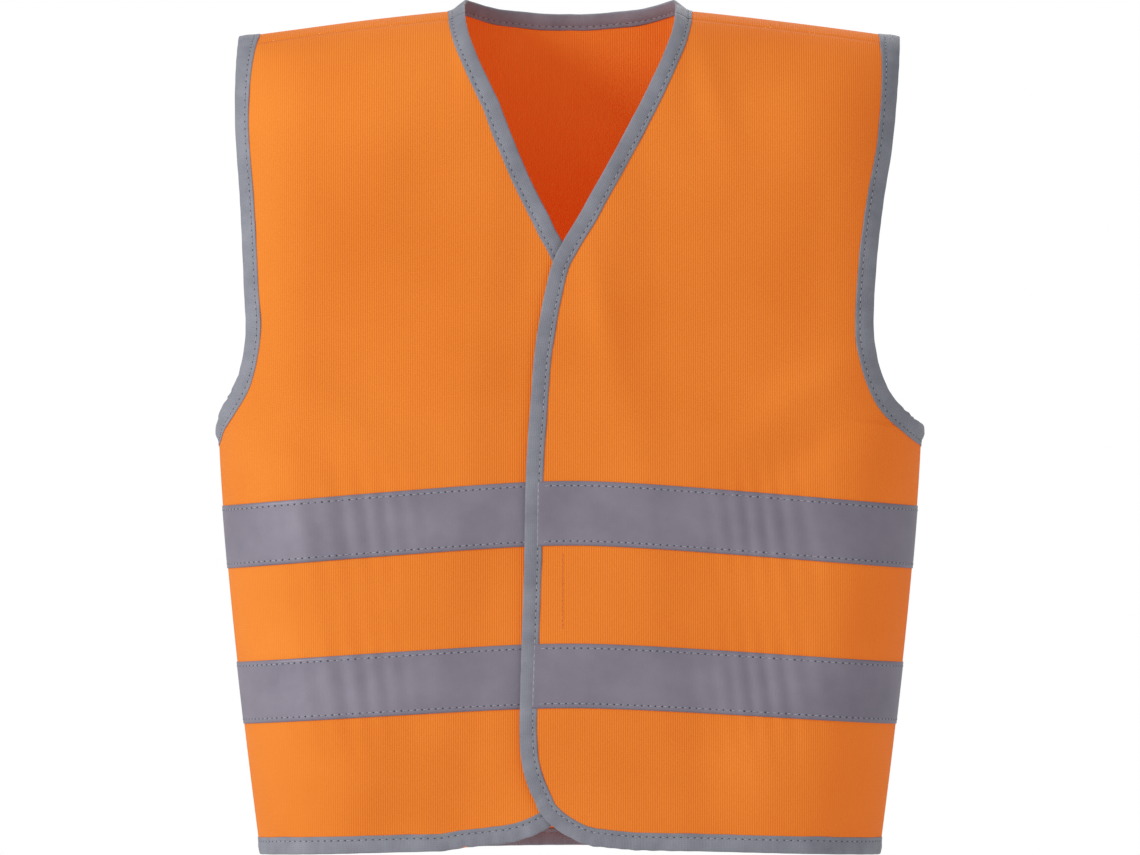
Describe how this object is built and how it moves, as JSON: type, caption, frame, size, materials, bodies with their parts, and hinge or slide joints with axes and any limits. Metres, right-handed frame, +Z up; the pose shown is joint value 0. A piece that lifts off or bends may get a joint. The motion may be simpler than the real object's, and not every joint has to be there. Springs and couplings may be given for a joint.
{
  "type": "high visibility vest",
  "caption": "Sleeveless orange safety waistcoat with V neck, lapped front closure, two reflective bands and bound edges.",
  "frame": {"origin": "middle of the neck opening at the height of the shoulder points beside the neck", "axes": "+Z up, front faces -Y, +X towards the wearer's left"},
  "size_m": [0.4244, 0.1295, 0.5145],
  "materials": {
    "orange_knit": "fluorescent orange warp knit",
    "reflective_tape": "grey glass-bead reflective tape",
    "grey_binding": "grey folded woven binding",
    "hook_strip": "orange hook tape",
    "loop_strip": "orange brushed loop tape",
    "label_cloth": "white satin label, blank"
  },
  "bodies": {
    "root": {"back_panel": "orange_knit", "front_panel_left_side": "orange_knit", "front_panel_right_side": "orange_knit", "upper_tape_back": "reflective_tape", "lower_tape_back": "reflective_tape", "upper_tape_left_side": "reflective_tape", "lower_tape_left_side": "reflective_tape", "upper_tape_right_side": "reflective_tape", "lower_tape_right_side": "reflective_tape", "neck_binding": "grey_binding", "hem_binding": "grey_binding", "armhole_binding_left": "grey_binding", "armhole_binding_right": "grey_binding", "care_label": "label_cloth"},
    "over_flap": {"front_panel_left_flap": "orange_knit", "upper_tape_left_flap": "reflective_tape", "lower_tape_left_flap": "reflective_tape", "front_binding_left": "grey_binding", "hook_strip": "hook_strip"},
    "under_flap": {"front_panel_right_flap": "orange_knit", "upper_tape_right_flap": "reflective_tape", "lower_tape_right_flap": "reflective_tape", "front_binding_right": "grey_binding", "loop_strip": "loop_strip"}
  },
  "joints": [
    {"name": "over_flap_fold", "type": "hinge", "parent": "root", "child": "over_flap", "pos_m": [0.043, -0.0705, -0.06], "axis": [-0.105, 0, 0.9945], "range_deg": [0, 150]},
    {"name": "under_flap_fold", "type": "hinge", "parent": "root", "child": "under_flap", "pos_m": [-0.043, -0.0705, -0.06], "axis": [-0.105, 0, -0.9945], "range_deg": [0, 90]}
  ],
  "couplings": [
    {"joint": "under_flap_fold", "follows": "over_flap_fold", "ratio": 0.6}
  ]
}
